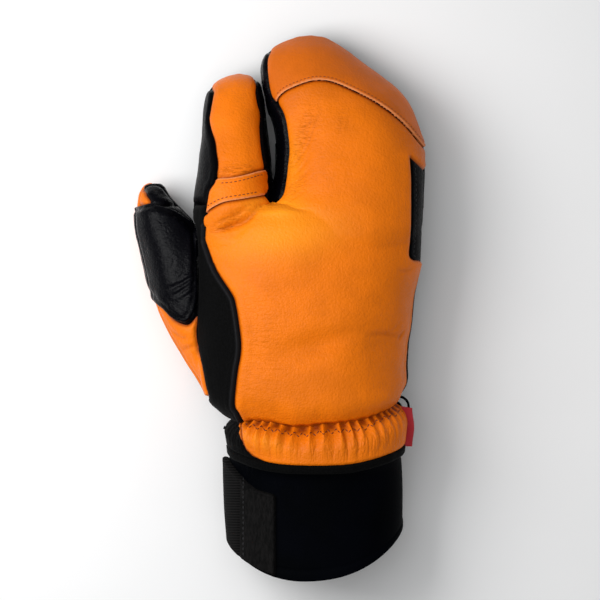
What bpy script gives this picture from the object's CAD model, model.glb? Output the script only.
import math

import bpy
import numpy as np
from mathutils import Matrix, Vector
from mathutils.bvhtree import BVHTree


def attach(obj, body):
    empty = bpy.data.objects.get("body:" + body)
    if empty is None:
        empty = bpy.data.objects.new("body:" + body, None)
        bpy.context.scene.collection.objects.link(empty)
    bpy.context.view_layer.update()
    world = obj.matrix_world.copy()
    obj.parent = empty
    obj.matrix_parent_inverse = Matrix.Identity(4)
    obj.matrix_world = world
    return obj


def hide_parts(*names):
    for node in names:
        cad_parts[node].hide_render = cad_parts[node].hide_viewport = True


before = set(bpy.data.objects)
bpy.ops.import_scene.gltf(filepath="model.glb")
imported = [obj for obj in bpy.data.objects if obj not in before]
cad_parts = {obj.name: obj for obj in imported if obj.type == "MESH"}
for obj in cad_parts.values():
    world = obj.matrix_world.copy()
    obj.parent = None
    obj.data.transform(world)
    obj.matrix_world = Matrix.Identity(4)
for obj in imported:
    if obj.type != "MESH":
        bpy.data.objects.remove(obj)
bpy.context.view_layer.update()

MM = 0.001
OFFSET = np.array([14.9025, -59.0057, 0.0])  # from the mitt's own frame to the part's, in millimetres

# Limbs and parts: root, width, length and height
HAND = {"x": 0.0, "y": 0.0, "width": 114.0, "length": 195.0, "height": 66.0}
INDEX = {"x": -37.05, "y": 112.32, "width": 39.0, "length": 64.0, "height": 58.0}
THUMB = {"x": -68.97, "y": 18.915, "width": 34.0, "length": 103.0, "height": 44.0}
WRIST = {"x": 2.736, "y": 7.995, "width": 86.0, "length": -60.0, "height": 52.0}
SKIRT = {**WRIST, "length": -18.5}

UPPER_SQUARENESS = 2.25
LOWER_SQUARENESS = 2.9
WAIST_SHARE = 0.45
LOWER_LEAN_SHARE = 0.45
SKIRT_WALL = 2.4
CUFF_CLEARANCE = 0.6
CUFF_WALL = 3.0
SKIRT_SWELL = 2.4
BINDING_WIDTH = 4.6
STRAP_THICKNESS = 2.4
PATCH_THICKNESS = 1.2
SEAM_GAP = 0.3
FLOOR_GAP = 0.02  # the lowest that a point of the leather may lie
GRID_STEP = 0.8
GRID_LOW = np.array([-90.0, -8.0, -4.0])
GRID_HIGH = np.array([60.5, 199.0, 69.0])

SECTION = ("along", "left", "right", "low", "high", "lean", "skew", "bow")
HAND_ROWS = [
    (0.041, -0.344, 0.397, 0.19, 0.91, 0.37, 0.1),
    (0.059, -0.388, 0.409, 0.165, 0.945, 0.36, 0.09),
    (0.085, -0.436, 0.418, 0.155, 0.972, 0.32, 0.06),
    (0.123, -0.474, 0.429, 0.15, 0.99, 0.25, 0.03),
    (0.169, -0.49, 0.429, 0.145, 1.0, 0.17),
    (0.213, -0.497, 0.436, 0.14, 1.0, 0.09),
    (0.264, -0.502, 0.45, 0.13, 1.0, 0.03),
    (0.328, -0.507, 0.459, 0.11, 0.99),
    (0.425, -0.507, 0.486, 0.085, 0.975),
    (0.507, -0.507, 0.491, 0.06, 0.955),
    (0.548, -0.482, 0.487, 0.07, 0.91),
    (0.561, -0.42, 0.46, 0.15, 0.82),
    (0.569, -0.32, 0.39, 0.3, 0.66),
]
MITTEN_ROWS = [
    (0.41, -0.17, 0.42, 0.17, 0.86),
    (0.507, -0.185, 0.489, 0.065, 0.952),
    (0.571, -0.18, 0.498, 0.045, 0.925),
    (0.609, -0.168, 0.501, 0.03, 0.9),
    (0.661, -0.15, 0.504, 0.01, 0.868),
    (0.712, -0.149, 0.499, -0.01, 0.83),
    (0.763, -0.16, 0.477, -0.018, 0.788),
    (0.809, -0.182, 0.449, -0.018, 0.742),
    (0.853, -0.198, 0.405, -0.018, 0.69),
    (0.896, -0.209, 0.327, -0.01, 0.625),
    (0.932, -0.209, 0.246, 0.02, 0.56),
    (0.958, -0.19, 0.187, 0.055, 0.5),
    (0.976, -0.153, 0.14, 0.092, 0.44),
    (0.989, -0.112, 0.101, 0.13, 0.375),
    (1.0, -0.056, 0.06, 0.185, 0.305),
]
INDEX_ROWS = [
    (-0.42, -0.44, 0.5, 0.14, 0.955),
    (-0.2, -0.52, 0.49, 0.09, 1.0),
    (-0.016, -0.532, 0.487, 0.07, 1.0),
    (0.102, -0.513, 0.481, 0.07, 0.975),
    (0.219, -0.487, 0.474, 0.075, 0.94),
    (0.336, -0.462, 0.468, 0.085, 0.9),
    (0.477, -0.436, 0.445, 0.095, 0.845),
    (0.633, -0.423, 0.414, 0.095, 0.785),
    (0.766, -0.406, 0.37, 0.1, 0.715),
    (0.844, -0.376, 0.343, 0.11, 0.66),
    (0.914, -0.305, 0.312, 0.135, 0.595),
    (0.961, -0.212, 0.256, 0.17, 0.525),
    (0.988, -0.115, 0.179, 0.22, 0.445),
    (1.0, -0.038, 0.103, 0.27, 0.38),
]
THUMB_ROWS = [
    (-0.024, 0.515, 0.9, 0.34, 0.83),
    (0.049, 0.382, 0.94, 0.3, 0.9),
    (0.17, 0.147, 1.0, 0.22, 0.96),
    (0.291, -0.074, 1.0, 0.155, 0.99),
    (0.413, -0.235, 0.94, 0.105, 1.0),
    (0.534, -0.335, 0.79, 0.07, 0.985),
    (0.655, -0.41, 0.618, 0.05, 0.94),
    (0.777, -0.49, 0.412, 0.045, 0.87),
    (0.864, -0.5, 0.175, 0.065, 0.8),
    (0.922, -0.485, 0.0, 0.1, 0.725),
    (0.961, -0.456, -0.088, 0.15, 0.65),
    (0.985, -0.412, -0.132, 0.21, 0.56),
    (1.0, -0.338, -0.206, 0.28, 0.46),
]
CUFF_ROWS = [
    (0.41, -0.508, 0.497, 0.13, 1.075, 0.34, 0.02, 0.0),
    (0.72, -0.502, 0.506, 0.0, 1.03, 0.5, 0.05, 0.3),
    (1.0, -0.487, 0.506, -0.02, 1.0, 0.8, 0.08, 0.65),
]
SKIRT_COLUMNS = ("along", "swell", "lean", "skew", "bow")
SKIRT_ROWS = [
    (-0.06, -0.2, 0.37, 0.1, 0.0),
    (0.12, 0.4, 0.37, 0.08, 0.0),
    (0.48, 1.1, 0.35, 0.04, 0.0),
    (1.0, 1.0, 0.33, 0.0, 0.4),
]
# Soft folds in the back: where, turn in degrees from across, half length, half width and depth
FOLDS = [
    (-0.33, 0.522, 27, 0.085, 0.045, 0.032),
    (-0.36, 0.51, 12, 0.07, 0.035, 0.018),
    (0.21, 0.213, 9, 0.26, 0.075, 0.022),
    (-0.05, 0.71, 71, 0.2, 0.06, 0.016),
]

# Seams seen from above, as shares across and along a limb
FORK_MITTEN = [
    (-0.16, 1.0), (-0.178, 0.963), (-0.19, 0.935), (-0.182, 0.881), (-0.167, 0.848), (-0.15, 0.836),
]
FORK_BACK = [
    (-0.15, 0.836), (-0.129, 0.814), (-0.112, 0.781), (-0.102, 0.722), (-0.109, 0.671), (-0.117, 0.619),
    (-0.125, 0.597), (-0.141, 0.58), (-0.162, 0.573), (-0.183, 0.58), (-0.193, 0.598),
]
CAP = [
    (-0.15, 0.836), (-0.113, 0.861), (-0.06, 0.876), (-0.007, 0.887), (0.036, 0.891), (0.079, 0.889),
    (0.121, 0.882), (0.179, 0.867), (0.259, 0.844), (0.312, 0.825), (0.365, 0.802), (0.418, 0.774),
    (0.478, 0.733), (0.56, 0.68),
]
INDEX_RIGHT = [
    (0.395, 0.26), (0.365, 0.32), (0.346, 0.438), (0.342, 0.56), (0.346, 0.68), (0.3, 0.773),
    (0.273, 0.852), (0.275, 0.92), (0.24, 0.98), (0.19, 1.09),
]
INDEX_LEFT = [
    (-0.256, 0.188), (-0.24, 0.305), (-0.263, 0.4), (-0.282, 0.48), (-0.328, 0.56), (-0.353, 0.64),
    (-0.341, 0.719), (-0.309, 0.838), (-0.31, 0.885), (-0.42, 0.96),
]
BAND_LEFT = [(-0.394, -0.078), (-0.368, 0.017), (-0.341, 0.097), (-0.282, 0.152), (-0.256, 0.188)]
BAND_UPPER = [(-0.256, 0.188), (-0.132, 0.19), (0.0, 0.2), (0.141, 0.22), (0.272, 0.245), (0.395, 0.26)]
BAND_LOWER = [(-0.394, -0.078), (-0.262, -0.023), (-0.132, 0.01), (0.064, 0.029), (0.247, 0.049)]
BACK_LEFT = [
    (-0.465, 0.512), (-0.467, 0.487), (-0.458, 0.466), (-0.414, 0.404), (-0.344, 0.343), (-0.327, 0.315),
    (-0.314, 0.269), (-0.304, 0.22), (-0.307, 0.184), (-0.32, 0.143), (-0.334, 0.06), (-0.322, 0.035),
    (-0.309, -0.005), (-0.29, -0.045), (-0.26, -0.13),
]
THUMB_JOIN = [
    (-0.54, 0.62), (-0.52, 0.56), (-0.501, 0.51), (-0.496, 0.455), (-0.494, 0.29), (-0.499, 0.248),
    (-0.495, 0.21), (-0.482, 0.172), (-0.462, 0.107), (-0.449, 0.078), (-0.47, 0.03),
]
INDEX_SIDE_END = 0.571
PALM_SEAM = [
    (-0.2, 0.48), (0.07, 0.48), (0.2, 0.45), (0.33, 0.42), (0.46, 0.385), (0.58, 0.35), (0.71, 0.31),
    (0.84, 0.26), (0.94, 0.22), (1.1, 0.2),
]
OUTER_PATCH = [(0.442, 0.694), (0.449, 0.637), (0.449, 0.545), (0.445, 0.489), (0.44, 0.443), (0.46, 0.43)]
OUTER_PATCH_OUTSIDE = [(0.6, 0.425), (0.6, 0.61)]
OUTER_PATCH_FOOT = 0.3
THUMB_RISE = [(-0.1, 0.55), (0.35, 0.5), (0.8, 0.42), (1.1, 0.4)]
THUMB_UNDER = [(0.5, -0.1), (0.32, 0.2), (0.1, 0.45), (-0.14, 0.75), (-0.3, 1.1)]
THUMB_ROOT = [
    (-0.7, 0.47), (-0.26, 0.42), (-0.11, 0.383), (0.0, 0.34), (0.13, 0.319), (0.25, 0.318), (0.38, 0.362),
    (0.5, 0.4),
]
THUMB_ROOT_FOOT = 0.25
THUMB_WINDOW_FOOT = 0.35
THUMB_WINDOW = [(-0.7, 0.85), (-0.338, 0.905), (-0.38, 0.945), (-0.43, 0.975), (-0.7, 1.02)]
THUMB_PATCH = [
    (-0.7, 0.868), (-0.338, 0.905), (-0.2, 0.895), (0.1, 0.85), (0.3, 0.79), (0.37, 0.7), (0.37, 0.44),
    (0.25, 0.34), (0.13, 0.334), (0.0, 0.355), (-0.11, 0.393), (-0.22, 0.422), (-0.34, 0.47), (-0.7, 0.6),
]
STRAP_END = -0.229
STRAP_TOP = [
    (-0.7, 0.34), (-0.53, 0.345), (-0.485, 0.42), (-0.42, 0.535), (-0.34, 0.635), (-0.25, 0.675),
    (STRAP_END, 0.7),
]
STRAP_FOOT = 0.16

RANDOM = np.random.default_rng(12)
LATTICE_SIZE = 32
LATTICE = RANDOM.uniform(-1, 1, (LATTICE_SIZE, LATTICE_SIZE, LATTICE_SIZE))


def noise(points, size, shift=0.0):
    """Smooth noise from -1 to 1 whose lumps are about size millimetres across."""
    place = points / size + shift
    base = np.floor(place).astype(int)
    share = place - base
    share = share * share * (3 - 2 * share)
    value = np.zeros(len(points))
    for corner in np.ndindex(2, 2, 2):
        weight = np.prod(np.where(corner, share, 1 - share), axis=1)
        x, y, z = ((base + corner) % LATTICE_SIZE).T
        value += weight * LATTICE[x, y, z]
    return value


def table(names, rows):
    """Named columns from rows. What a row leaves out at its end is 0."""
    full = [list(row) + [0.0] * (len(names) - len(row)) for row in rows]
    return dict(zip(names, np.array(full, float).T))


def eased(x, y, at):
    """A smooth curve through points that doesn't swing past them."""
    step = np.diff(x)
    slope = np.diff(y) / step
    bend = np.zeros(len(y))
    bend[0] = slope[0]
    bend[-1] = slope[-1]
    before, after = slope[:-1], slope[1:]
    same = before * after > 0
    first = (2 * step[1:] + step[:-1])[same]
    second = (step[1:] + 2 * step[:-1])[same]
    bend[1:-1][same] = (first + second) / (first / before[same] + second / after[same])
    i = np.clip(np.searchsorted(x, at) - 1, 0, len(step) - 1)
    t = np.clip((at - x[i]) / step[i], 0, 1)
    rest = 1 - t
    return (
        (1 + 2 * t) * rest**2 * y[i]
        + t * rest**2 * step[i] * bend[i]
        + t**2 * (3 - 2 * t) * y[i + 1]
        - t**2 * rest * step[i] * bend[i + 1]
    )


def smooth_line(points, steps=4):
    """A smooth plan line through points, with a few steps between each two."""
    points = np.asarray(points, float)
    padded = np.vstack([points[:1], points, points[-1:]])
    line = []
    for i in range(len(points) - 1):
        a, b, c, d = padded[i : i + 4]
        t = np.linspace(0, 1, steps, endpoint=False)[:, None]
        start, end = (c - a) / 2, (d - b) / 2
        cubic = 2 * b - 2 * c + start + end
        square = 3 * c - 3 * b - 2 * start - end
        line.append(cubic * t**3 + square * t**2 + start * t + b)
    return np.vstack([*line, points[-1:]])


def place(limb, rows):
    rows = np.asarray(rows, float)
    return np.array([limb["x"], limb["y"]]) + rows * [limb["width"], limb["length"]]


def seam(limb, rows):
    return smooth_line(place(limb, rows))


def blend(value, start, end):
    """0 at start, 1 at end, smooth between."""
    t = np.clip((value - start) / (end - start), 0, 1)
    return t * t * (3 - 2 * t)


def bell(value, middle, width):
    """1 where a value is the middle, falling to 0 over about two widths."""
    return np.exp(-(((value - middle) / width) ** 2))


def bells(points, fields):
    """Turned bells added up: middle, half length, half width, turn in degrees from across, and height."""
    total = np.zeros(len(points))
    for (x, y), length, width, turn, height in fields:
        angle = math.radians(turn)
        u = (points[:, 0] - x) * math.cos(angle) + (points[:, 1] - y) * math.sin(angle)
        v = (points[:, 1] - y) * math.cos(angle) - (points[:, 0] - x) * math.sin(angle)
        total += height * bell(u, 0, length) * bell(v, 0, width)
    return total


def unit(vectors):
    return vectors / np.maximum(np.linalg.norm(vectors, axis=1, keepdims=True), 1e-9)


def length_along(line):
    """How far along a line each of its points lies."""
    return np.concatenate([[0], np.cumsum(np.linalg.norm(np.diff(line, axis=0), axis=1))])


# Limbs as sections along a line

def sections(limb, rows, round_tip=True):
    """Dense sections of a limb. Squares of its half sizes fall evenly to nothing at a round tip."""
    rows = table(SECTION, rows)
    s = limb["y"] + rows["along"] * limb["length"]
    left = limb["x"] + rows["left"] * limb["width"]
    right = limb["x"] + rows["right"] * limb["width"]
    low = rows["low"] * limb["height"]
    high = rows["high"] * limb["height"]
    waist = low + WAIST_SHARE * (high - low)
    even = {"centre": (left + right) / 2, "waist": waist, "lean": rows["lean"], "skew": rows["skew"]}
    squares = {"half": ((right - left) / 2) ** 2, "upper": (high - waist) ** 2, "lower": (waist - low) ** 2}
    if round_tip:
        half = squares["half"]
        fall = half[-1] / (half[-2] - half[-1]) * (s[-1] - s[-2])
        s = np.append(s, s[-1] + fall)
        even = {name: np.append(column, column[-1]) for name, column in even.items()}
        squares = {name: np.append(column, 0.0) for name, column in squares.items()}
    dense = np.linspace(s[0], s[-1], 4000)
    made = {name: eased(s, column, dense) for name, column in even.items()}
    for name, column in squares.items():
        made[name] = np.sqrt(np.maximum(eased(s, column, dense), 1e-6))
    return {"s": dense, **made}


HAND_SECTIONS = sections(HAND, HAND_ROWS)


def along_hand(x, y, z):
    """Which slanted section of the hand a point lies in."""
    s = np.array(y, float)
    dense = HAND_SECTIONS["s"]
    for _ in range(6):
        rise = z - np.interp(s, dense, HAND_SECTIONS["waist"])
        lean = np.interp(s, dense, HAND_SECTIONS["lean"]) * np.where(rise > 0, 1.0, LOWER_LEAN_SHARE)
        skew = np.interp(s, dense, HAND_SECTIONS["skew"])
        s = y + lean * rise - skew * (x - np.interp(s, dense, HAND_SECTIONS["centre"]))
    return s


def limb_field(made, x, z, s, open_start=False):
    """How far points lie outside a limb, in its own sections, below 0 inside."""
    names = ("centre", "waist", "half", "upper", "lower")
    column = {name: np.interp(s, made["s"], made[name]) for name in names}
    across = x - column["centre"]
    rise = z - column["waist"]
    over = rise > 0
    reach = np.where(over, column["upper"], column["lower"])
    squareness = np.where(over, UPPER_SQUARENESS, LOWER_SQUARENESS)
    share = np.abs(across / column["half"]) ** squareness + np.abs(rise / reach) ** squareness
    share **= 1 / squareness
    distance = np.hypot(across, rise)
    field = distance - distance / np.maximum(share, 1e-6)
    past = s - made["s"][-1]
    field = np.where(past > 0, np.hypot(distance, past), field)
    return field if open_start else np.maximum(field, made["s"][0] - s)


def slopes(field, step):
    return [part.astype(np.float32) for part in np.gradient(field, step)]


def join(a, b, reach):
    """The union of two fields, rounded off where their surfaces meet at an angle."""
    slope_a, slope_b = slopes(a, GRID_STEP), slopes(b, GRID_STEP)
    dot = sum(p * q for p, q in zip(slope_a, slope_b))
    size = np.sqrt(sum(p * p for p in slope_a) * sum(q * q for q in slope_b)) + 1e-6
    reach = np.maximum(reach * np.clip(1 - dot / size, 0, 1), 1e-3)
    near = np.maximum(reach - np.abs(a - b), 0) / reach
    return np.minimum(a, b) - near * near * reach / 4


def evened(field, step):
    """The field with its slope brought down to 1 where it is steeper."""
    size = np.sqrt(sum(part * part for part in slopes(field, step)))
    return field / np.maximum(size, 1)


def hand_field(step):
    """The whole hand's field on a grid."""
    x, y, z = (np.arange(a, b, step) for a, b in zip(GRID_LOW, GRID_HIGH))
    x, y, z = x[:, None, None], y[None, :, None], z[None, None, :]
    full = np.broadcast_arrays(x, y, z)
    hand = limb_field(HAND_SECTIONS, x, z, along_hand(*full), open_start=True)
    field = evened(hand, step)
    mitten = evened(limb_field(sections(HAND, MITTEN_ROWS), x, z, y), step)
    field = join(field, mitten, 3.0)
    index = evened(limb_field(sections(INDEX, INDEX_ROWS), x, z, y), step)
    field = join(field, index, 6.0 * (1 - blend(y, 106, 117)))
    thumb = evened(limb_field(sections(THUMB, THUMB_ROWS), x, z, y), step)
    field = join(field, thumb, 0.3 + 3.5 * (1 - blend(y, 30, 52)))
    return field


# Triangle nets

def sampled(grid, place_in_grid):
    """Values of a grid between its points."""
    base = np.floor(place_in_grid).astype(int)
    base = np.clip(base, 0, np.array(grid.shape) - 2)
    share = place_in_grid - base
    value = np.zeros(len(base))
    for corner in np.ndindex(2, 2, 2):
        weight = np.prod(np.where(corner, share, 1 - share), axis=1)
        x, y, z = (base + corner).T
        value += weight * grid[x, y, z]
    return value


def net(field, step, rounds=3):
    """A net of quads on the zero level of a field on a grid, smoothed and drawn back to that level."""
    inside = field < 0
    shape = tuple(n - 1 for n in field.shape)
    count = np.zeros(shape, np.uint8)
    for i, j, k in np.ndindex(2, 2, 2):
        count += inside[i : i + shape[0], j : j + shape[1], k : k + shape[2]]
    cells = np.argwhere((count > 0) & (count < 8))
    index = np.full(shape, -1, np.int64)
    index[tuple(cells.T)] = np.arange(len(cells))
    corners = list(np.ndindex(2, 2, 2))
    values = {corner: field[tuple((cells + corner).T)] for corner in corners}
    total, crossings = np.zeros((len(cells), 3)), np.zeros(len(cells))
    for corner in corners:
        for axis in range(3):
            if corner[axis]:
                continue
            other = tuple(1 if n == axis else corner[n] for n in range(3))
            a, b = values[corner], values[other]
            crossed = (a < 0) != (b < 0)
            share = np.where(crossed, a / np.where(crossed, a - b, 1), 0)
            point = np.tile(np.array(corner, float), (len(cells), 1))
            point[:, axis] += share
            total += point * crossed[:, None]
            crossings += crossed
    points = cells + total / crossings[:, None]
    quads = []
    for axis in range(3):
        b, c = (axis + 1) % 3, (axis + 2) % 3
        first = np.moveaxis(inside, (axis, b, c), (0, 1, 2))
        change = first[:-1].astype(np.int8) - first[1:].astype(np.int8)
        change[:, 0, :] = change[:, -1, :] = 0
        change[:, :, 0] = change[:, :, -1] = 0
        for sign in (1, -1):
            edges = np.argwhere(change == sign)
            around = []
            for db, dc in ((-1, -1), (0, -1), (0, 0), (-1, 0)):
                cell = np.zeros_like(edges)
                cell[:, axis] = edges[:, 0]
                cell[:, b] = edges[:, 1] + db
                cell[:, c] = edges[:, 2] + dc
                around.append(index[tuple(cell.T)])
            quad = np.stack(around, axis=1)
            quads.append(quad if sign == 1 else quad[:, ::-1])
    quads = np.vstack(quads)
    quads = quads[(quads >= 0).all(axis=1)]
    sides = np.vstack([quads[:, [n, (n + 1) % 4]] for n in range(4)])
    edges = np.unique(np.sort(sides, axis=1), axis=0)
    slope = slopes(field, 1.0)
    for _ in range(rounds):
        points = relaxed(points, edges)
        value = sampled(field, points)
        direction = np.stack([sampled(part, points) for part in slope], axis=1)
        move = value / np.maximum((direction**2).sum(axis=1), 1e-4)
        points -= direction * np.clip(move, -0.6, 0.6)[:, None]
    return points * step + GRID_LOW, split(points, quads)


def relaxed(points, edges, share=0.6):
    """Points moved towards the middle of their neighbours."""
    count = len(points)
    number = np.bincount(edges.ravel(), minlength=count).clip(1)
    total = np.empty_like(points)
    for axis in range(3):
        a = np.bincount(edges[:, 0], points[edges[:, 1], axis], count)
        b = np.bincount(edges[:, 1], points[edges[:, 0], axis], count)
        total[:, axis] = a + b
    return points + share * (total / number[:, None] - points)


def split(points, quads):
    """Two triangles from each quad, along its shorter diagonal."""
    one = np.linalg.norm(points[quads[:, 0]] - points[quads[:, 2]], axis=1)
    other = np.linalg.norm(points[quads[:, 1]] - points[quads[:, 3]], axis=1)
    short = one <= other
    a = np.where(short[:, None], quads[:, [0, 1, 2]], quads[:, [1, 2, 3]])
    b = np.where(short[:, None], quads[:, [0, 2, 3]], quads[:, [1, 3, 0]])
    return np.vstack([a, b])


def normals_of(points, faces):
    corner = points[faces]
    flat = np.cross(corner[:, 1] - corner[:, 0], corner[:, 2] - corner[:, 0])
    normal = np.zeros_like(points)
    for axis in range(3):
        for n in range(3):
            normal[:, axis] += np.bincount(faces[:, n], flat[:, axis], len(points))
    return unit(normal)


def net_of(points, faces, **columns):
    """A mesh: its points, normals and any named columns, side by side, and its triangles."""
    names = {"point": (0, 3), "normal": (3, 6)}
    parts = [points, normals_of(points, faces)]
    at = 6
    for name, column in columns.items():
        names[name] = (at, at + 1)
        parts.append(np.asarray(column, float)[:, None])
        at += 1
    return {"data": np.hstack(parts), "faces": faces, "names": names}


def get(mesh, name):
    start, end = mesh["names"][name]
    found = mesh["data"][:, start:end]
    return found[:, 0] if end - start == 1 else found


def cut(mesh, value):
    """The part of a mesh where a value at its points is below 0, cut along the zero line."""
    data, faces = mesh["data"], mesh["faces"]
    value = np.where(np.abs(value) < 1e-4, -1e-4, value)
    keep = value < 0
    number = keep[faces].sum(axis=1)
    whole = faces[number == 3]
    crossed = faces[(number == 1) | (number == 2)]
    if len(crossed) == 0:
        return packed({**mesh, "faces": whole})
    # Turn each crossed triangle until its lone corner comes first
    flags = keep[crossed]
    alone = flags == (flags.sum(axis=1) == 1)[:, None]
    turn = alone.argmax(axis=1)
    row = np.arange(len(crossed))
    a, b, c = (crossed[row, (turn + n) % 3] for n in range(3))
    pairs = np.vstack([np.stack([a, b], 1), np.stack([a, c], 1)])
    edges, where = np.unique(np.sort(pairs, axis=1), axis=0, return_inverse=True)
    where = where.ravel()
    v, w = value[edges[:, 0]], value[edges[:, 1]]
    share = (v / (v - w))[:, None]
    added = data[edges[:, 0]] * (1 - share) + data[edges[:, 1]] * share
    ab = len(data) + where[: len(a)]
    ac = len(data) + where[len(a) :]
    lone = keep[a]
    tips = np.stack([a, ab, ac], 1)[lone]
    rest = ~lone
    stumps = np.vstack([np.stack([ab, b, c], 1)[rest], np.stack([ab, c, ac], 1)[rest]])
    return packed({**mesh, "data": np.vstack([data, added]), "faces": np.vstack([whole, tips, stumps])})


def packed(mesh):
    """The mesh without points that no triangle uses."""
    used, faces = np.unique(mesh["faces"], return_inverse=True)
    return {**mesh, "data": mesh["data"][used], "faces": faces.reshape(-1, 3)}


def largest(mesh, share=0.02):
    """The mesh without its crumbs, which are parts with under a share of its triangles."""
    faces, count = mesh["faces"], len(mesh["data"])
    label = np.arange(count)
    while True:
        low = label[faces].min(axis=1)
        new = label.copy()
        np.minimum.at(new, faces.ravel(), np.repeat(low, 3))
        new = new[new]
        if (new == label).all():
            break
        label = new
    found, size = np.unique(label[faces[:, 0]], return_counts=True)
    kept = found[size > share * len(faces)]
    return packed({**mesh, "faces": faces[np.isin(label[faces[:, 0]], kept)]})


def rim_of(faces):
    """The open edges of a mesh, each in its triangle's direction."""
    edges = np.vstack([faces[:, [0, 1]], faces[:, [1, 2]], faces[:, [2, 0]]])
    key = np.sort(edges, axis=1)
    _, index, number = np.unique(key, axis=0, return_index=True, return_counts=True)
    return edges[index[number == 1]]


# Plan lines and outlines

def near_line(xy, line, reach):
    """Distance to a plan line, how far along it, and the direction away from it. Far points get the reach."""
    distance = np.full(len(xy), float(reach))
    along = np.zeros(len(xy))
    away = np.zeros((len(xy), 2))
    low, high = line.min(axis=0) - reach, line.max(axis=0) + reach
    close = np.flatnonzero(((xy > low) & (xy < high)).all(axis=1))
    start, end = line[:-1], line[1:]
    span = end - start
    size = np.maximum((span**2).sum(axis=1), 1e-12)
    length = np.concatenate([[0], np.cumsum(np.sqrt(size))])
    for chunk in np.array_split(close, max(1, len(close) // 20000)):
        gap = xy[chunk, None, :] - start
        t = np.clip((gap * span).sum(axis=2) / size, 0, 1)
        offset = gap - t[..., None] * span
        square = (offset**2).sum(axis=2)
        best = square.argmin(axis=1)
        row = np.arange(len(chunk))
        found = np.sqrt(square[row, best])
        distance[chunk] = np.minimum(found, reach)
        along[chunk] = length[best] + t[row, best] * np.sqrt(size[best])
        away[chunk] = offset[row, best] / np.maximum(found, 1e-6)[:, None]
    return distance, along, away


def inside(xy, outline):
    """Signed distance to a closed plan outline, below 0 inside."""
    outline = np.asarray(outline, float)
    closed = np.vstack([outline, outline[:1]])
    distance, _, _ = near_line(xy, closed, 1e4)
    start, end = closed[:-1], closed[1:]
    crossings = np.zeros(len(xy), int)
    for (x0, y0), (x1, y1) in zip(start, end):
        if y0 == y1:
            continue
        straddles = (y0 > xy[:, 1]) != (y1 > xy[:, 1])
        crossings += straddles & (xy[:, 0] < x0 + (x1 - x0) * (xy[:, 1] - y0) / (y1 - y0))
    return np.where(crossings % 2 == 1, -distance, distance)


def over_surface(distance, away, normal):
    """A plan distance as it is on the sloping surface."""
    lean = (away * normal[:, :2]).sum(axis=1)
    return distance / np.sqrt(np.clip(1 - lean**2, 0.04, 1))


def shifted_line(line, by):
    """A plan line moved to its left."""
    step = unit(np.gradient(line, axis=0))
    return line + by * np.stack([-step[:, 1], step[:, 0]], axis=1)


def spaced(line, pitch):
    """Points at an even pitch along a line."""
    length = length_along(line)
    at = np.linspace(0, length[-1], max(2, int(round(length[-1] / pitch)) + 1))
    return np.stack([np.interp(at, length, line[:, n]) for n in range(line.shape[1])], axis=1)


fork_mitten = seam(HAND, FORK_MITTEN)
fork_back = seam(HAND, FORK_BACK)
cap_line = seam(HAND, CAP)
index_right = seam(INDEX, INDEX_RIGHT)
index_left = seam(INDEX, INDEX_LEFT)
band_left = seam(INDEX, BAND_LEFT)
band_upper = seam(INDEX, BAND_UPPER)
band_lower = smooth_line(np.vstack([place(INDEX, BAND_LOWER), fork_back[-1:]]))
back_left = seam(HAND, BACK_LEFT)
thumb_join = seam(HAND, THUMB_JOIN)
strip_end = INDEX_SIDE_END * HAND["length"]
patch_outline = np.vstack([seam(HAND, OUTER_PATCH), place(HAND, OUTER_PATCH_OUTSIDE)])
patch_foot = OUTER_PATCH_FOOT * HAND["height"]
thumb_patch_outline = seam(THUMB, THUMB_PATCH)

ASIDE, AHEAD, BEHIND = 150.0, 230.0, -160.0
outlines = {
    "fingertip_cap": [
        *fork_mitten, *cap_line, (ASIDE, cap_line[-1][1]), (ASIDE, AHEAD), (fork_mitten[0][0], AHEAD),
    ],
    "back_shell": [
        *cap_line[::-1], *fork_back, *band_lower[::-1], *back_left,
        (back_left[-1][0], BEHIND), (ASIDE, BEHIND), (ASIDE, cap_line[-1][1]),
    ],
    "index_back": [
        *index_left, (index_left[-1][0], AHEAD), (index_right[-1][0], AHEAD), *index_right[::-1],
        *band_upper[::-1],
    ],
    "knuckle_band": [*band_left, *band_upper, *band_lower[::-1]],
    "gusset": [
        *fork_mitten, *fork_back, *index_right, (index_right[-1][0], AHEAD), (fork_mitten[0][0], AHEAD),
    ],
}
strip_right = np.vstack([band_left, index_left[1:]])
strip_corner = [np.interp(strip_end, strip_right[:, 1], strip_right[:, 0]), strip_end]
upper_strip = np.vstack([strip_corner, strip_right[strip_right[:, 1] > strip_end]])
lower_strip = np.vstack([strip_right[strip_right[:, 1] < strip_end], strip_corner])
outlines["index_side"] = [*upper_strip, (index_left[-1][0], AHEAD), (-ASIDE, AHEAD), (-ASIDE, strip_end)]
outlines["side_panel"] = [
    (-ASIDE, strip_end), *lower_strip[::-1], *back_left, (back_left[-1][0], BEHIND), (-ASIDE, BEHIND),
]
thumb_outline = [
    (thumb_join[0][0], AHEAD), *thumb_join, (thumb_join[-1][0], BEHIND), (-ASIDE, BEHIND), (-ASIDE, AHEAD),
]


def over_palm_seam(points):
    """Height above the seam between back and palm."""
    along, height = np.array(PALM_SEAM).T
    return points[:, 2] - eased(along * HAND["length"], height * HAND["height"], points[:, 1])


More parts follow.
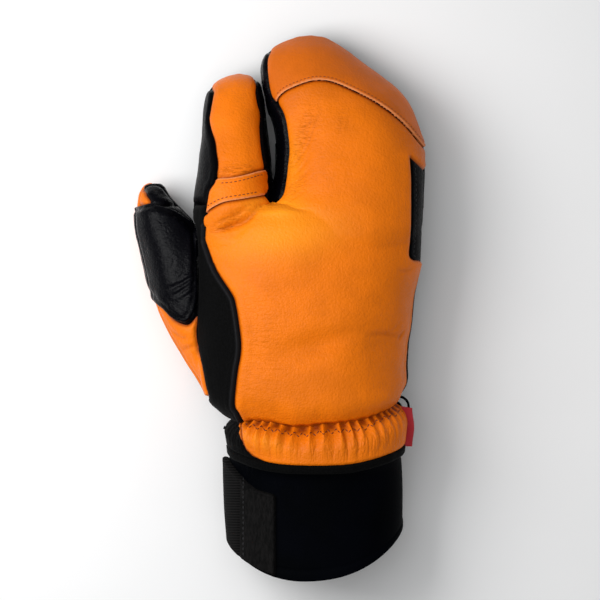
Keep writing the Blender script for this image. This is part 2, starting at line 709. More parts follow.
def thumb_back_value(points):
    """Below 0 on the orange of the thumb: outside and low, at its root, and at its tip."""
    along, height = np.array(THUMB_RISE).T
    line = np.interp(points[:, 1], THUMB["y"] + along * THUMB["length"], height * THUMB["height"])
    under = seam(THUMB, THUMB_UNDER)
    outside = inside(points[:, :2], [*under, (-ASIDE, under[-1][1]), (-ASIDE, under[0][1])])
    lower = np.maximum(points[:, 2] - line, outside)
    edge = seam(THUMB, THUMB_ROOT)
    root = inside(points[:, :2], [*edge, (edge[-1][0] + ASIDE, BEHIND), (edge[0][0] - ASIDE, BEHIND)])
    root = np.maximum(root, THUMB["height"] * THUMB_ROOT_FOOT - points[:, 2])
    window = inside(points[:, :2], seam(THUMB, THUMB_WINDOW))
    window = np.maximum(window, THUMB["height"] * THUMB_WINDOW_FOOT - points[:, 2])
    return np.minimum(np.minimum(lower, root), window)


def surface_slope(points, faces, value):
    """How fast a value changes along the surface, at each point."""
    a, b, c = (points[faces[:, n]] for n in range(3))
    normal = np.cross(b - a, c - a)
    double = np.maximum(np.linalg.norm(normal, axis=1), 1e-9)
    unit = normal / double[:, None]
    va, vb, vc = (value[faces[:, n]][:, None] for n in range(3))
    slope = np.cross(unit, va * (c - b) + vb * (a - c) + vc * (b - a)) / double[:, None]
    size = np.linalg.norm(slope, axis=1)
    total = np.zeros(len(points))
    number = np.zeros(len(points))
    for n in range(3):
        total += np.bincount(faces[:, n], size, len(points))
        number += np.bincount(faces[:, n], minlength=len(points))
    return total / np.maximum(number, 1)


# Relief of the leather

TURNED = [
    # line, only above the palm seam
    (fork_mitten, True), (fork_back, True), (index_right, True), (index_left, True), (band_left, True),
    (back_left, True), (thumb_join, False),
    (np.array([(-ASIDE, strip_end), lower_strip[-1]]), True),
]
LAPPED = [cap_line, band_upper, band_lower]
RIPPLES = [(0.45, 26.0, 0.0), (0.16, 10.0, 5.3), (0.05, 4.0, 9.1)]  # height, size and shift of the soft waves
SEAM_REACH = 14.0
BACK_FOOT = -0.5  # how high above the palm seam the back's own seams begin
SLIT = np.array([(-17.0, 122.0), (-15.5, 130.0), (-16.5, 139.0), (-19.0, 149.0), (-21.0, 160.0)])


# Single creases in the leather: points in plan, half width and depth in millimetres
CREASES = [
    ([(-24.5, 110), (-27.5, 107.5), (-31.5, 104), (-38.5, 100.5), (-49.5, 98)], 1.3, 1.1),
    ([(-24, 107), (-31, 101), (-39, 96), (-47, 94)], 1.1, 0.3),
    ([(-30, 111.5), (-36, 107), (-44, 103.5)], 1.0, 0.3),
    ([(-42, 105.5), (-47, 101.5), (-52, 99.5)], 1.0, 0.3),
    ([(-33, 107), (-40, 102.5)], 0.9, 0.22),
    ([(1.5, 159), (-0.5, 151), (-3, 144), (-6.5, 137.5)], 0.8, 0.2),
    ([(4, 155), (1, 147), (-2, 140), (-6, 134)], 0.8, 0.18),
    ([(-1.5, 155), (-3.5, 147), (-7, 140.5)], 0.8, 0.16),
    ([(-3.5, 139), (-6.5, 134), (-10, 130)], 0.8, 0.2),
    ([(-0.5, 136), (-4.5, 130), (-9.5, 125.5)], 0.8, 0.2),
    ([(1, 131), (-3.5, 125.5), (-9, 121)], 0.8, 0.16),
    ([(16.5, 158), (15.5, 151), (13.5, 145)], 0.9, 0.12),
    ([(19, 155), (18.5, 148.5)], 0.9, 0.1),
    ([(-2, 119), (-7, 115.5), (-11, 112)], 0.8, 0.15),
    ([(-46.5, 130), (-39, 128.5), (-30, 130)], 0.8, 0.14),
    ([(-48, 127), (-41, 125.5), (-31.5, 127), (-24, 129)], 0.8, 0.16),
    ([(-47, 134.5), (-41, 133.5), (-35, 134.5)], 0.8, 0.1),
    ([(49.5, 45), (44, 46), (37.5, 47), (30, 46.5)], 1.4, 0.5),
    ([(52, 80), (48.5, 78.5), (44.5, 79)], 1.0, 0.35),
    ([(49, 49), (46.5, 43)], 1.2, 0.35),
    ([(47, 53), (43.5, 49), (40, 47.5)], 1.0, 0.2),
    ([(-70, 69.5), (-64.5, 72), (-57.5, 76)], 1.0, 0.75),
    ([(-67.5, 66), (-62, 70), (-56.5, 73.5)], 0.8, 0.5),
    ([(-64, 64), (-60, 67), (-56.5, 70.5)], 0.7, 0.4),
    ([(-67, 72.5), (-63, 76.5), (-58, 79)], 0.8, 0.35),
    ([(-71, 87), (-68, 84), (-68.5, 80)], 0.7, 0.2),
    ([(-68.5, 80), (-65.5, 78), (-62, 79)], 0.7, 0.25),
    ([(-64.5, 38), (-60, 40.5), (-56, 41)], 1.2, 0.4),
    ([(-70, 49), (-65, 45), (-59, 44)], 1.2, 0.25),
]
CREASES = [(smooth_line(points), width, depth) for points, width, depth in CREASES]


# Fields of fine creases: middle, half length, half width, turn in degrees from across, strength
STRANDS = {
    "stretched": [
        ((-13, 97), 26, 12, 8, 0.75), ((-18, 110.5), 12, 5, -5, 0.9), ((-9, 131), 5, 16, 0, 0.5),
        ((-24, -6), 12, 4, -18, 0.4),
    ],
    "strands_steep": [
        ((-4.5, 144), 22, 6, 71, 0.8), ((16, 153), 10, 4, 80, 0.4), ((15, 54), 40, 14, 66, 0.15),
    ],
    "strands_slanted": [
        ((-40, 103), 15, 4.5, 27, 0.8), ((-7, 121), 8, 5, 40, 0.8), ((17.5, 39), 30, 10, -14, 0.2),
    ],
    "strands_flat": [
        ((-37, 128.5), 13, 4, 4, 1.0), ((-24, 41.5), 16, 40, 2, 0.3), ((-37, 159), 12, 16, 0, 0.15),
    ],
}


# Low swellings and hollows of the padding: middle, half length, half width, turn and height
PADDING = [
    ((-12, 85), 17, 12, 20, 1.3), ((-6, 110.5), 18, 4.5, -6, 0.9), ((44, 34), 16, 26, 0, -2.7),
    ((-15.5, 110), 11, 4.2, -5, 1.5),
    ((12.5, 164), 20, 5, -12, -0.5), ((4, 42), 22, 6, 14, -1.7), ((16.5, 37.5), 14, 6, 24, 1.0),
    ((37.5, 41.5), 12, 5, 5, -0.8), ((53.5, 66), 6, 14, 0, -1.2),
]


def padding_height(points):
    return bells(points, PADDING) * blend(over_palm_seam(points), -2, 6)


def strand_mask(points, fields):
    return np.clip(bells(points, fields), 0, 1) * blend(over_palm_seam(points), -2, 2)


def fold_depth(points):
    width, height = HAND["width"], HAND["height"]
    return bells(points, [
        (place(HAND, (across, along)), half_length * width, half_width * width, turn, deep * height)
        for across, along, turn, half_length, half_width, deep in FOLDS
    ])


PLEATS = 42
PLEAT_SHIFTS = RANDOM.uniform(-0.55, 0.55, PLEATS)
PLEAT_SIZES = RANDOM.uniform(0.75, 1.2, PLEATS)


def pleat(angle):
    """The gathered wave round the wrist, 1 on a ridge and 0 in a valley, and how big that ridge is."""
    turn = angle / (2 * math.pi) * PLEATS
    sway = np.interp(turn % PLEATS, np.arange(PLEATS + 1), [*PLEAT_SHIFTS, PLEAT_SHIFTS[0]])
    size = np.interp(turn % PLEATS, np.arange(PLEATS + 1), [*PLEAT_SIZES, PLEAT_SIZES[0]])
    return np.abs(np.cos(math.pi * turn + sway)), size


def gather_lift(x, z):
    """How far the gathered seam is drawn up towards the fingers on the back of the hand."""
    at = np.array([-40.0, -36.0, -32.0, -26.0, -18.0, -12.5, -7.0, 0.0, 5.0, 11.0, 17.0])
    lift = np.array([0.0, 0.6, 3.6, 4.2, 3.4, 1.4, 0.0, 0.0, 0.6, 0.2, 0.0])
    return eased(at, lift, np.clip(x, at[0], at[-1])) * blend(z, 18, 30)


def wrist_angle(points, s):
    dense = HAND_SECTIONS["s"]
    centre = np.interp(s, dense, HAND_SECTIONS["centre"])
    waist = np.interp(s, dense, HAND_SECTIONS["waist"])
    half = np.interp(s, dense, HAND_SECTIONS["half"])
    reach = np.interp(s, dense, HAND_SECTIONS["upper"])
    return np.arctan2((points[:, 2] - waist) / reach, (points[:, 0] - centre) / half) % (2 * math.pi)


def surface_distance(mesh, line):
    """How far each point lies from a plan line, over the surface."""
    distance, _, away = near_line(get(mesh, "point")[:, :2], line, SEAM_REACH)
    return np.minimum(over_surface(distance, away, get(mesh, "normal")), SEAM_REACH)


def turned_distance(mesh, name, above):
    """How far each point lies from the nearest seam whose edges are turned in."""
    nearest = np.abs(get(mesh, "palm_edge"))
    if name.startswith("thumb"):
        nearest = np.minimum(nearest, np.abs(get(mesh, "thumb_edge")))
    for line, back_only in TURNED:
        distance = surface_distance(mesh, line)
        if back_only:
            distance = np.where(above > BACK_FOOT, distance, SEAM_REACH)
        nearest = np.minimum(nearest, distance)
    return nearest


def outer_patch_value(points):
    return np.maximum(inside(points[:, :2], patch_outline), patch_foot - points[:, 2])


def slit_hollow(points, normals):
    """How far the walls draw back on either side of the slit between index finger and mitten."""
    beside = points[:, 0] - eased(SLIT[:, 1], SLIT[:, 0], np.clip(points[:, 1], SLIT[0, 1], SLIT[-1, 1]))
    near = blend(points[:, 1], 119, 128) * blend(-points[:, 1], -166, -150) * np.exp(-((beside / 7) ** 4))
    left = blend(normals[:, 0], 0.1, 0.7)
    right = 0.5 * blend(-normals[:, 0], 0.1, 0.7)
    return near * np.where(beside < 0, left, right)


def crease_height(mesh, above):
    """The single creases: a groove with a low ridge on either side."""
    crease = np.zeros(len(above))
    for line, width, depth in CREASES:
        distance, along, away = near_line(get(mesh, "point")[:, :2], line, 8.0)
        distance = over_surface(distance, away, get(mesh, "normal"))
        share = along / length_along(line)[-1]
        fade = np.sin(math.pi * np.clip(share, 0.04, 0.96)) ** 0.7 * blend(above, 0, 6)
        crease += depth * (0.45 * bell(distance, 2.1 * width, 1.1 * width) - bell(distance, 0, width)) * fade
    return crease


def wrist_relief(mesh):
    """How far the body stands out near the gathered wrist seam, and how dark it is there."""
    points, s = get(mesh, "point"), get(mesh, "s")
    above = s - WRIST["y"] - gather_lift(points[:, 0], points[:, 2])
    rising = np.maximum(above, 0)
    out = 0.5 * bell(above, 10, 5) - 1.3 * bell(rising, 0, 1.6) - 2.2 * bell(rising, 0, 7.5)
    out -= 2.0 * blend(-above, 0, 2.5) + 1.6 * bell(rising, 0, 9.5) * np.maximum(get(mesh, "normal")[:, 2], 0)
    ridge, size = pleat(wrist_angle(points, s))
    out += 0.6 * (ridge**2 * size - 0.5) * np.exp(-rising / 2.6)
    return out, 0.9 * bell(rising, 0, 1.0)


def relief(mesh, name):
    """How far a piece's leather stands out from the plain shell, and its shades: seam, crease and edge."""
    points, normals = get(mesh, "point"), get(mesh, "normal")
    above = over_palm_seam(points)
    on_back = blend(above, -1.0, 1.0)
    out = sum(height * noise(points, size, shift) for height, size, shift in RIPPLES)
    out -= fold_depth(points) * np.maximum(normals[:, 2], 0)
    turned = turned_distance(mesh, name, above)
    if name == "back_shell":
        out += padding_height(points) * blend(np.minimum(points[:, 1] - 12, 165 - points[:, 1]), 0, 8)
    if name in ("back_shell", "outer_patch"):
        recess = outer_patch_value(points)
        turned = np.minimum(turned, np.abs(recess) + 0.25)
        out += 0.35 * bell(recess, 1.6, 1.2) - 0.9 * blend(-recess, 0.0, 2.2) * (name == "outer_patch")
    out += 0.35 * bell(turned, 3.6, 2.2) - 1.15 * bell(turned, 0, 1.0)
    out += 0.1 * bell(turned, 2.2, 1.6) * noise(points, 2.2, 3.7)
    dark = bell(turned, 0, 0.8)
    edge = np.zeros(len(points))
    to_cap, to_upper, to_lower = (
        np.where(above > BACK_FOOT, surface_distance(mesh, line), SEAM_REACH) for line in LAPPED
    )
    if name in ("fingertip_cap", "knuckle_band"):
        on_cap = name == "fingertip_cap"
        border = to_cap if on_cap else np.minimum(to_upper, to_lower)
        out += 0.8 * (1 - 0.5 * bell(border, 0, 0.45)) * (bell(to_cap, 0, 9) if on_cap else 1)
        out += 0.15 * bell(border, 0.8, 0.4) - 0.16 * bell(border, 1.9, 0.4)
        edge = 0.8 * blend(-border, -0.8, -0.45)
    else:
        lapped = np.minimum(np.minimum(to_cap, to_upper), to_lower)
        out += 0.25 * bell(lapped, 3.5, 2.0) * on_back - 0.7 * bell(lapped, 0, 1.1)
        dark = np.maximum(dark, bell(lapped, 0, 1.1))
    if name == "back_shell":
        dark = np.maximum(dark, 0.26 * bell(to_cap, 3, 6.5))
    if name == "index_back":
        dark = np.maximum(dark, 0.3 * bell(surface_distance(mesh, index_left), 0, 4) * on_back)
    if name == "side_panel":
        edge = bell(surface_distance(mesh, back_left), 1.5, 0.8) * blend(above, 0, 3)
        out += 0.75 * edge
    crease = crease_height(mesh, above)
    at_wrist, wrist_dark = wrist_relief(mesh)
    out += crease + at_wrist - slit_hollow(points, normals)
    return out, {"seam": np.maximum(dark, wrist_dark), "crease": np.clip(-crease * 1.6, 0, 1), "edge": edge}


# The hand's shell

print("building the shell")
shell_points, shell_faces = net(hand_field(GRID_STEP), GRID_STEP)
height = shell_points[:, 2]
shell_points[:, 2] = 0.5 * (height + np.sqrt(height**2 + 1.0)) - 0.15
shell_s = along_hand(*shell_points.T)
palm_edge = over_palm_seam(shell_points)
thumb_edge = thumb_back_value(shell_points)
shell = net_of(
    shell_points,
    shell_faces,
    s=shell_s,
    palm_edge=palm_edge / np.maximum(surface_slope(shell_points, shell_faces, palm_edge), 0.3),
    thumb_edge=thumb_edge / np.maximum(surface_slope(shell_points, shell_faces, thumb_edge), 0.3),
)
shell = cut(shell, WRIST["y"] - get(shell, "s"))


# Rings round the wrist: skirt, cuff and binding

def bent(value, squareness):
    return np.sign(value) * np.abs(value) ** (2 / squareness)


def rings(stations, angles, out):
    """Points on rings. stations are columns of the same length, out is a row for each station."""
    left, right, low, high = (stations[name][:, None] for name in ("left", "right", "low", "high"))
    lean, skew, bow, y = (stations[name][:, None] for name in ("lean", "skew", "bow", "y"))
    centre = (left + right) / 2
    waist = low + WAIST_SHARE * (high - low)
    sine, cosine = np.sin(angles)[None, :], np.cos(angles)[None, :]
    upper = sine >= 0
    squareness = np.where(upper, UPPER_SQUARENESS, LOWER_SQUARENESS)
    x = centre + bent(cosine, squareness) * ((right - left) / 2 + out)
    reach = np.where(upper, high - waist, waist - low)
    rise = bent(sine, squareness) * (reach + out)
    slant = lean * np.where(upper, 1 - bow + bow * rise / reach, LOWER_LEAN_SHARE)
    return np.stack([x, y - slant * rise + skew * (x - centre), np.maximum(waist + rise, 0.05)], axis=2)


def even_angles(stations, count):
    """Angles whose points lie at about even distances round the first ring."""
    angles = np.linspace(0, 2 * math.pi, 4001)
    one = {name: column[:1] for name, column in stations.items()}
    length = length_along(rings(one, angles, np.zeros((1, len(angles))))[0])
    return np.interp(np.linspace(0, length[-1], count, endpoint=False), length, angles)


def tube(points, closed=True):
    """Triangles of a tube through rows of points, or of an open sheet."""
    count, sides = points.shape[:2]
    index = np.arange(count * sides).reshape(count, sides)
    following = np.roll(index, -1, axis=1)
    quads = np.stack([index[:-1], following[:-1], following[1:], index[1:]], axis=2)
    if not closed:
        quads = quads[:, :-1]
    flat = points.reshape(-1, 3)
    return flat, split(flat, quads.reshape(-1, 4))


first = table(SECTION, HAND_ROWS[:1])
wrist_ring = {
    "left": first["left"][0] * HAND["width"],
    "right": first["right"][0] * HAND["width"],
    "low": first["low"][0] * HAND["height"],
    "high": first["high"][0] * HAND["height"],
}
skirt_rows = table(SKIRT_COLUMNS, SKIRT_ROWS)


def skirt_stations(along):
    along = np.asarray(along, float)
    swell = eased(skirt_rows["along"], skirt_rows["swell"], along) * SKIRT_SWELL
    made = {name: eased(skirt_rows["along"], skirt_rows[name], along) for name in ("lean", "skew", "bow")}
    return {
        **made,
        "y": SKIRT["y"] + along * SKIRT["length"],
        "left": wrist_ring["left"] - swell,
        "right": wrist_ring["right"] + swell,
        "low": wrist_ring["low"] - swell,
        "high": wrist_ring["high"] + swell,
    }


def hem_lift(x):
    """How far the hem is drawn up towards the fingers, from the middle to its ends."""
    return 1.3 + 1.7 * blend(x, 16, 46) + 1.0 * blend(-x, 20, 38)


SKIRT_ROUND = 1080
SKIRT_PROFILE = ("along", "out", "depth", "sharpness", "wrinkles")
skirt_profile = table(SKIRT_PROFILE, [
    (-0.3, -4.6, 0.5, 6.0, 0.0),
    (-0.05, -2.6, 1.4, 6.0, 0.0),
    (0.0, -1.3, 2.4, 6.0, 0.0),
    (0.05, 0.0, 3.3, 4.6, 0.1),
    (0.12, 0.7, 3.1, 3.0, 0.25),
    (0.22, 1.1, 2.3, 2.0, 0.45),
    (0.35, 1.1, 1.4, 1.4, 0.6),
    (0.55, 0.8, 0.7, 1.1, 0.5),
    (0.75, 0.35, 0.35, 1.0, 0.3),
    (0.93, 0.1, 0.12, 1.0, 0.08),
    (1.0, -0.6, 0.1, 1.0, 0.0),
])
skirt_along = np.concatenate([
    np.linspace(-0.3, -0.05, 5, endpoint=False),
    np.linspace(-0.05, 0.3, 28, endpoint=False),
    np.linspace(0.3, 1.0, 24),
])
skirt_made = skirt_stations(skirt_along)
skirt_angles = even_angles(skirt_made, SKIRT_ROUND)
skirt_shape = {
    name: np.interp(skirt_along, skirt_profile["along"], column)[:, None]
    for name, column in skirt_profile.items()
}
ridge, ridge_size = pleat(skirt_angles[None, :])
wave = skirt_shape["depth"] * (ridge ** skirt_shape["sharpness"] - 1) * ridge_size
plain_ring = rings(skirt_made, skirt_angles, skirt_shape["out"] + 0 * wave)
wave *= 1 - 0.9 * blend(-plain_ring[..., 0], 29, 35) - 0.65 * blend(plain_ring[..., 0], 25, 32)
lift = gather_lift(plain_ring[..., 0], plain_ring[..., 2]) * (1 - blend(skirt_along, 0, 0.9))[:, None]
wrinkle = noise(plain_ring.reshape(-1, 3) * [1, 0.25, 1], 1.7, 2.2).reshape(wave.shape)
wrinkle = -np.clip(0.3 - np.abs(wrinkle), 0, 1) * 1.6 * skirt_shape["wrinkles"]
skirt_points = rings(skirt_made, skirt_angles, skirt_shape["out"] + wave + wrinkle + 0.6 * lift)
for ring in (skirt_points, plain_ring):
    ring[..., 1] += hem_lift(ring[..., 0]) * np.clip(skirt_along, 0, 1)[:, None] + lift
flat, skirt_faces = tube(skirt_points)
skirt_left = smooth_line([
    (-34.75, 6.5), (-34.75, -1), (-34, -6), (-32, -10.75), (-28, -14.5), (-22, -17.25), (-14, -19.25),
    (-5, -21), (10, -22.5),
])
skirt_outline = [*skirt_left, (ASIDE, skirt_left[-1][1]), (ASIDE, AHEAD), (skirt_left[0][0], AHEAD)]
SIDE_LEVEL = 0.62


def skirt_orange(points):
    """Below 0 on the orange part of the skirt: right of its seam in plan, and not low on the thumb's side."""
    low = np.where(points[:, 0] < 0, SIDE_LEVEL * HAND["height"] - points[:, 2], -ASIDE)
    return np.maximum(inside(points[:, :2], skirt_outline), low)


gather = bell(np.maximum(skirt_along, 0), 0, 0.07)[:, None] * (1 - ridge**3)
skirt = net_of(
    flat,
    skirt_faces,
    palm_edge=over_palm_seam(flat),
    gather=gather.ravel(),
    orange=skirt_orange(plain_ring.reshape(-1, 3)),
    crease=np.clip(-0.22 * wave - 0.9 * wrinkle, 0, 1).ravel(),
)


def dressed(mesh, name):
    """A shell piece with its relief: points moved out along their normals, with its shades."""
    out, shades = relief(mesh, name)
    points = get(mesh, "point") + get(mesh, "normal") * out[:, None]
    points[:, 2] = np.maximum(points[:, 2], FLOOR_GAP)
    return {**shades, "points": points, "faces": mesh["faces"]}


def plain_skirt(mesh):
    points, normals = get(mesh, "point"), get(mesh, "normal")
    distance, _, away = near_line(points[:, :2], skirt_left, SEAM_REACH)
    distance = np.where(over_palm_seam(points) > 0, over_surface(distance, away, normals), SEAM_REACH)
    distance = np.minimum(distance, np.abs(get(mesh, "palm_edge")))
    near = bell(distance, 0, 0.9)
    return {
        "points": points - normals * (0.8 * near)[:, None],
        "faces": mesh["faces"],
        "seam": np.maximum(near, get(mesh, "gather")),
        "crease": get(mesh, "crease"),
        "edge": np.zeros(len(points)),
    }


def merged(*parts):
    start, faces = 0, []
    for part in parts:
        faces.append(part["faces"] + start)
        start += len(part["points"])
    columns = {name: np.concatenate([part[name] for part in parts]) for name in parts[0] if name != "faces"}
    return {**columns, "faces": np.vstack(faces)}


COLUMNS = ("seam", "crease", "edge", "pile")  # what the materials read at each point


def turned_in(part, depth):
    """The part with its open edges turned inwards, as the folded edge of the leather."""
    points, faces = part["points"], part["faces"]
    edges = rim_of(faces)
    rim, where = np.unique(edges, return_inverse=True)
    where = where.reshape(-1, 2) + len(points)
    inner = points[rim] - normals_of(points, faces)[rim] * depth
    inner[:, 2] = np.maximum(inner[:, 2], FLOOR_GAP)
    walls = np.vstack([
        np.stack([edges[:, 1], edges[:, 0], where[:, 0]], 1),
        np.stack([edges[:, 1], where[:, 0], where[:, 1]], 1),
    ])
    shades = {name: np.concatenate([part[name], part[name][rim]]) for name in COLUMNS if name in part}
    return {**shades, "points": np.vstack([points, inner]), "faces": np.vstack([faces, walls]), "hard": edges}


# Materials

def material(name, colour, roughness):
    made = bpy.data.materials.new(name)
    made.use_nodes = True
    tree = made.node_tree
    shader = tree.nodes["Principled BSDF"]
    shader.inputs["Base Color"].default_value = (*colour, 1)
    shader.inputs["Roughness"].default_value = roughness
    return made, tree, shader


def node(tree, kind, inputs=(), **settings):
    made = tree.nodes.new(kind)
    for name, value in settings.items():
        setattr(made, name, value)
    for name, value in dict(inputs).items():
        if isinstance(value, bpy.types.NodeSocket):
            tree.links.new(value, made.inputs[name])
        else:
            made.inputs[name].default_value = value
    return made


def where_in(tree, scale=(1, 1, 1), turn=0.0):
    """Object coordinates in millimetres, stretched by a scale and turned about Z."""
    place_node = node(tree, "ShaderNodeTexCoord")
    size = tuple(1000 * n for n in scale)
    return node(
        tree,
        "ShaderNodeMapping",
        {"Vector": place_node.outputs["Object"], "Scale": size, "Rotation": (0, 0, math.radians(turn))},
    ).outputs[0]


def grain(tree, size, vector, detail=2.0, roughness=0.5, distortion=0.0):
    inputs = {"Vector": vector, "Scale": 1 / size, "Detail": detail}
    inputs.update({"Roughness": roughness, "Distortion": distortion})
    return node(tree, "ShaderNodeTexNoise", inputs).outputs["Fac"]


def ramp(tree, value, low, high, to_low=0.0, to_high=1.0):
    return node(
        tree,
        "ShaderNodeMapRange",
        {"Value": value, "From Min": low, "From Max": high, "To Min": to_low, "To Max": to_high},
        interpolation_type="SMOOTHSTEP",
    ).outputs["Result"]


def maths(tree, operation, a, b=0.0):
    return node(tree, "ShaderNodeMath", {0: a, 1: b}, operation=operation).outputs[0]


def tinted(tree, share, first_colour, second_colour):
    made = node(tree, "ShaderNodeMix", {"Factor": share}, data_type="RGBA")
    for socket, colour in ((made.inputs[6], first_colour), (made.inputs[7], second_colour)):
        if isinstance(colour, bpy.types.NodeSocket):
            tree.links.new(colour, socket)
        else:
            socket.default_value = (*colour, 1)
    return made.outputs[2]


def finished(tree, shader, base, layers, constants=()):
    """Links a colour and bumps laid over each other, each a height and a depth in mm, and sets constants."""
    tree.links.new(base, shader.inputs["Base Color"])
    last = None
    for height, depth_mm in layers:
        inputs = {"Height": height, "Distance": depth_mm * MM, "Strength": 1.0}
        if last is not None:
            inputs["Normal"] = last
        last = node(tree, "ShaderNodeBump", inputs).outputs["Normal"]
    tree.links.new(last, shader.inputs["Normal"])
    for name, value in dict(constants).items():
        shader.inputs[name].default_value = value


def waves(tree, vector, size, **settings):
    return node(tree, "ShaderNodeTexWave", {"Vector": vector, "Scale": size}, **settings).outputs["Fac"]


def column_of(tree, name):
    return node(tree, "ShaderNodeAttribute", attribute_name=name).outputs["Fac"]


PORE_SIZE = 1.1
STRAND_TURNS = {"strands_steep": 71, "strands_slanted": 27, "strands_flat": 4}


def leather(name, colour, deep, light, taut, roughness, pore, crease_depth, specular):
    """Full-grain leather: soft mottling, pores, fine creases, dark in the seams and pale at a cut edge."""
    made, tree, shader = material(name, colour, roughness)
    place_mm = where_in(tree)
    mottling = grain(tree, 16, place_mm, 3)
    base = tinted(tree, ramp(tree, mottling, 0.35, 0.65), colour, tuple(0.9 * n for n in colour))
    fine = grain(tree, 1.5, place_mm, 4, 0.62)
    base = tinted(tree, ramp(tree, fine, 0.3, 0.6, 0.05, 0), base, deep)
    creases = []
    for column, turn in STRAND_TURNS.items():
        stretched = where_in(tree, (0.16, 1.0, 0.5), -turn)
        line = maths(tree, "SUBTRACT", grain(tree, 1.25, stretched, 1, 0.5, 0.8), 0.5)
        open_share = ramp(tree, maths(tree, "ABSOLUTE", line), 0.0, 0.07, 1.0, 0.0)
        creases.append(maths(tree, "MULTIPLY", open_share, column_of(tree, column)))
    crease = maths(tree, "MAXIMUM", maths(tree, "MAXIMUM", creases[0], creases[1]), creases[2])
    base = tinted(tree, maths(tree, "MULTIPLY", crease, 0.08), base, deep)
    base = tinted(tree, column_of(tree, "stretched"), base, taut)
    base = tinted(tree, maths(tree, "MULTIPLY", column_of(tree, "crease"), 0.3), base, deep)
    base = tinted(tree, maths(tree, "MULTIPLY", column_of(tree, "seam"), 0.85), base, deep)
    base = tinted(tree, column_of(tree, "edge"), base, light)
    tree.links.new(ramp(tree, fine, 0.3, 0.7, roughness - 0.06, roughness + 0.08), shader.inputs["Roughness"])
    scale = {"Vector": place_mm, "Scale": 1 / PORE_SIZE, "Randomness": 1.0}
    cells = node(tree, "ShaderNodeTexVoronoi", scale, feature="F1").outputs["Distance"]
    raised_skin = maths(tree, "SUBTRACT", 1.0, crease)
    layers = [(cells, pore), (fine, pore * 2.4), (raised_skin, crease_depth)]
    finished(tree, shader, base, layers, {"Specular IOR Level": specular})
    return made


def linear(red, green, blue):
    """A linear colour from its 0 to 255 display values."""
    shares = (red / 255, green / 255, blue / 255)
    return tuple(((n + 0.055) / 1.055) ** 2.4 if n > 0.04045 else n / 12.92 for n in shares)


CUT_EDGE = linear(228, 146, 92)
orange = leather(
    "orange_leather", linear(240, 120, 5), deep=linear(112, 34, 3), light=CUT_EDGE, taut=linear(255, 152, 24),
    roughness=0.42, pore=0.13, crease_depth=0.22, specular=0.14,
)
cap_orange = leather(
    "orange_leather_cap", linear(214, 104, 12), deep=linear(100, 32, 4), light=CUT_EDGE,
    taut=linear(214, 104, 12), roughness=0.5, pore=0.09, crease_depth=0.1, specular=0.14,
)
black = leather(
    "black_leather", linear(4, 4, 8), deep=linear(1, 1, 2), light=linear(8, 8, 11), taut=linear(4, 4, 8),
    roughness=0.27, pore=0.1, crease_depth=0.2, specular=0.065,
)
smooth_black = leather(
    "black_leather_smooth", linear(4, 4, 6), deep=linear(1, 1, 2), light=linear(8, 8, 10),
    taut=linear(4, 4, 6), roughness=0.4, pore=0.09, crease_depth=0.12, specular=0.022,
)


def soft_fabric():
    """Fine matt stretch fabric with a faint lengthwise rib."""
    made, tree, shader = material("soft_shell", linear(17, 17, 18), 0.75)
    rolled = column_of(tree, "edge")
    tree.links.new(ramp(tree, rolled, 0, 1, 0.75, 0.4), shader.inputs["Roughness"])
    rib = {"Vector": where_in(tree, (1, 1, 0), 3), "Scale": 0.42, "Distortion": 0.6, "Detail": 1.0}
    rib = node(tree, "ShaderNodeTexWave", rib).outputs["Fac"]
    speck = grain(tree, 0.9, where_in(tree), 3, 0.7)
    base = tinted(tree, ramp(tree, speck, 0.4, 0.7), linear(4, 4, 4), linear(9, 9, 10))
    base = tinted(tree, maths(tree, "MULTIPLY", column_of(tree, "seam"), 0.6), base, linear(6, 6, 7))
    base = tinted(tree, rolled, base, linear(27, 27, 29))
    constants = {"Specular IOR Level": 0.03, "Sheen Weight": 0.02}
    finished(tree, shader, base, [(rib, 0.05), (speck, 0.08)], constants)
    return made


def neoprene():
    made, tree, shader = material("neoprene", linear(9, 10, 13), 0.62)
    place_mm = where_in(tree)
    speck = grain(tree, 0.7, place_mm, 2, 0.7)
    cloud = grain(tree, 24, place_mm, 2)
    base = tinted(tree, ramp(tree, cloud, 0.35, 0.65), linear(1, 2, 4), linear(2, 3, 7))
    base = tinted(tree, ramp(tree, speck, 0.5, 0.8, 0, 0.5), base, linear(9, 9, 13))
    finished(tree, shader, base, [(speck, 0.05), (cloud, 0.25)], {"Specular IOR Level": 0.015})
    return made


def hook_tape():
    """Ribbed tape: fine cross ribs on the smooth end, upright pile on the other."""
    made, tree, shader = material("hook_tape", linear(28, 27, 27), 0.8)
    ribs = {"Vector": where_in(tree, (0, 1, 0)), "Scale": 0.24, "Distortion": 0.4}
    ribs = node(tree, "ShaderNodeTexWave", ribs, bands_direction="Y").outputs["Fac"]
    pile = grain(tree, 1.5, where_in(tree, (1.4, 0.4, 1)), 3, 0.7, 0.5)
    both = {"Factor": column_of(tree, "pile"), "A": ribs, "B": pile}
    height = node(tree, "ShaderNodeMix", both).outputs["Result"]
    base = tinted(tree, ramp(tree, height, 0.3, 0.7), linear(8, 8, 8), linear(23, 22, 22))
    finished(tree, shader, base, [(height, 0.22)], {"Specular IOR Level": 0.04})
    return made


def woven_label():
    made, tree, shader = material("woven_label", linear(160, 26, 40), 0.7)
    warp = waves(tree, where_in(tree, (1, 0, 0)), 0.9, bands_direction="X")
    weft = waves(tree, where_in(tree, (0, 1, 0)), 0.7, bands_direction="Y")
    weave = maths(tree, "MULTIPLY", warp, weft)
    worn = grain(tree, 3.0, where_in(tree), 3)
    base = tinted(tree, ramp(tree, weave, 0.1, 0.8), linear(176, 18, 34), linear(226, 40, 58))
    base = tinted(tree, ramp(tree, worn, 0.55, 0.8, 0, 0.4), base, linear(196, 92, 100))
    finished(tree, shader, base, [(weave, 0.12)], {"Sheen Weight": 0.2})
    return made


